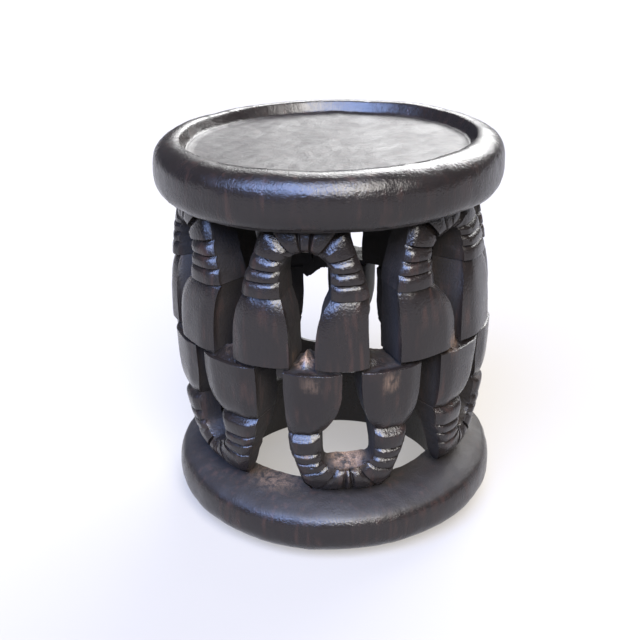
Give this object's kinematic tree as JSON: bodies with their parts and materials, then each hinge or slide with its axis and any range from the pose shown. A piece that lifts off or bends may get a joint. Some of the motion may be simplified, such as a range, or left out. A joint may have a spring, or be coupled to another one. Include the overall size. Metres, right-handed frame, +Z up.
{
  "type": "carved wooden stool",
  "caption": "Round carved stool: a dished seat on a hollow openwork drum of double-gong forms with looped, ridged handles, on a heavy ring base.",
  "frame": {"origin": "on the floor, under the middle of the base ring", "axes": "+Z up through the seat; -Y is the side that the picture shows; +X is to its right"},
  "size_m": [0.38, 0.38, 0.432],
  "materials": {
    "ebonised_wood": "ebonised black-brown hardwood, rubbed to a satin shine"
  },
  "bodies": {
    "root": {"stool": "ebonised_wood"}
  },
  "joints": []
}
